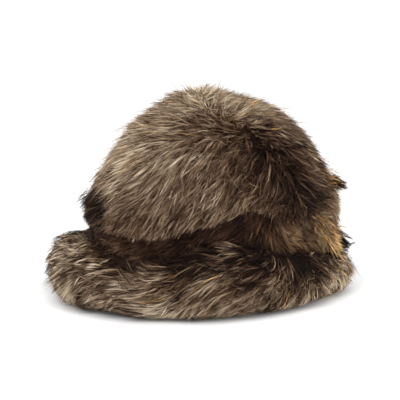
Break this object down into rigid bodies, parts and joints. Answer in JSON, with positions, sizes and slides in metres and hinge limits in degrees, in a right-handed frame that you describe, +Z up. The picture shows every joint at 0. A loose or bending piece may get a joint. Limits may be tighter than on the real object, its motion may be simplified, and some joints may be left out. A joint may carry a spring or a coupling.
{
  "type": "fur hat",
  "caption": "Domed fur hat: long-haired crown sewn from two pelts over a thin hide, short-haired band and thick fur brim, open below for the head.",
  "frame": {"origin": "under the middle of the hat, on the surface that its brim rests on", "axes": "+Z up, -Y to the front of the hat, X from ear to ear"},
  "size_m": [0.2456, 0.2862, 0.1943],
  "materials": {
    "hide": "matt suede side of the hide, seen inside the crown",
    "crown_fur": "long soft fur, taupe and beige with dark roots and tips",
    "band_fur": "short near-black fur, golden brown towards the back",
    "brim_fur": "long brown and golden fur with black tips"
  },
  "bodies": {
    "root": {"crown_hide": "hide", "crown_fur_front": "crown_fur", "crown_fur_back": "crown_fur", "band_fur": "band_fur", "brim_fur": "brim_fur"}
  },
  "joints": []
}
